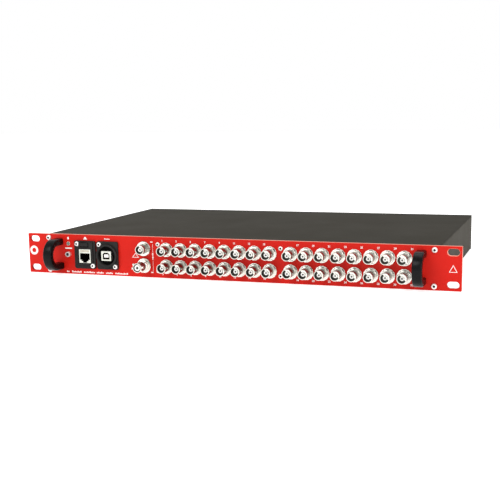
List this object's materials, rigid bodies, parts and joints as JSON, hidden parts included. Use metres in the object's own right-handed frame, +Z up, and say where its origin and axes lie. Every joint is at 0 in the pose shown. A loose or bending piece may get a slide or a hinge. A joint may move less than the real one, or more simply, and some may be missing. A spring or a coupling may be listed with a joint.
{
  "type": "rack-mounted coaxial signal unit",
  "caption": "1U 19-inch rack unit with a red front panel, rows of bayonet coaxial jacks, network and USB sockets, pull handles, steel chassis and mains inlet.",
  "frame": {"origin": "middle of the bounding box seen from above, on the surface that the unit stands on (the lower edge of the front panel)", "axes": "+X to the right as seen from the front, +Y from the front panel to the rear, +Z up"},
  "size_m": [0.4826, 0.3144, 0.0444],
  "materials": {
    "panel_paint": "satin red powder coat with bare edges",
    "handle_black": "satin black",
    "connector_nickel": "bright nickel plate",
    "socket_metal": "plated sheet metal",
    "socket_black": "fine-textured black",
    "screw_steel": "stainless",
    "light_lens": "clear green lens",
    "chassis_paint": "fine-textured grey powder coat",
    "mains_plastic": "moulded black",
    "circuit_board": "green solder mask",
    "ribbon_cable": "ribbed grey"
  },
  "bodies": {
    "unit": {"front_panel": "panel_paint", "handle_left": "handle_black", "handle_right": "handle_black", "panel_screw_upper_left": "screw_steel", "panel_screw_upper_right": "screw_steel", "panel_screw_lower_left": "screw_steel", "panel_screw_lower_right": "screw_steel", "status_led": "light_lens", "rj45_flange": "socket_black", "rj45_socket": "socket_metal", "usb_flange": "socket_black", "usb_socket": "socket_metal", "reference_jack": "connector_nickel", "trigger_jack": "connector_nickel", "jack_01": "connector_nickel", "jack_02": "connector_nickel", "jack_03": "connector_nickel", "jack_04": "connector_nickel", "jack_05": "connector_nickel", "jack_06": "connector_nickel", "jack_07": "connector_nickel", "jack_08": "connector_nickel", "jack_09": "connector_nickel", "jack_10": "connector_nickel", "jack_11": "connector_nickel", "jack_12": "connector_nickel", "jack_13": "connector_nickel", "jack_14": "connector_nickel", "jack_15": "connector_nickel", "jack_16": "connector_nickel", "jack_17": "connector_nickel", "jack_18": "connector_nickel", "jack_19": "connector_nickel", "jack_20": "connector_nickel", "jack_21": "connector_nickel", "jack_22": "connector_nickel", "jack_23": "connector_nickel", "jack_24": "connector_nickel", "jack_25": "connector_nickel", "jack_26": "connector_nickel", "jack_27": "connector_nickel", "jack_28": "connector_nickel", "jack_29": "connector_nickel", "jack_30": "connector_nickel", "jack_31": "connector_nickel", "jack_32": "connector_nickel", "chassis_tray": "chassis_paint", "top_cover": "chassis_paint", "rear_panel": "chassis_paint", "mains_inlet": "mains_plastic", "main_board": "circuit_board", "jack_board_left": "circuit_board", "jack_board_right": "circuit_board", "ribbon_left": "ribbon_cable", "ribbon_right": "ribbon_cable", "power_supply": "circuit_board"},
    "reset_button": {"reset_button": "socket_black"},
    "rj45_latch": {"rj45_latch": "socket_black"},
    "fuse_drawer": {"fuse_drawer": "mains_plastic"},
    "power_rocker": {"power_rocker": "mains_plastic"}
  },
  "joints": [
    {"name": "reset_button_press", "type": "slide", "parent": "unit", "child": "reset_button", "axis": [0, 1, 0], "range_m": [0, 0.0005], "stiffness_N_per_m": 400, "springref_m": -0.001},
    {"name": "rj45_latch_press", "type": "slide", "parent": "unit", "child": "rj45_latch", "axis": [0, 0, -1], "range_m": [0, 0.0008], "stiffness_N_per_m": 500, "springref_m": -0.001},
    {"name": "power_rocker_tilt", "type": "hinge", "parent": "unit", "child": "power_rocker", "pos_m": [0.18, 0.15265, 0.02223], "axis": [1, 0, 0], "range_deg": [0, 18]},
    {"name": "fuse_drawer_slide", "type": "slide", "parent": "unit", "child": "fuse_drawer", "axis": [0, 1, 0], "range_m": [0, 0.018]}
  ]
}
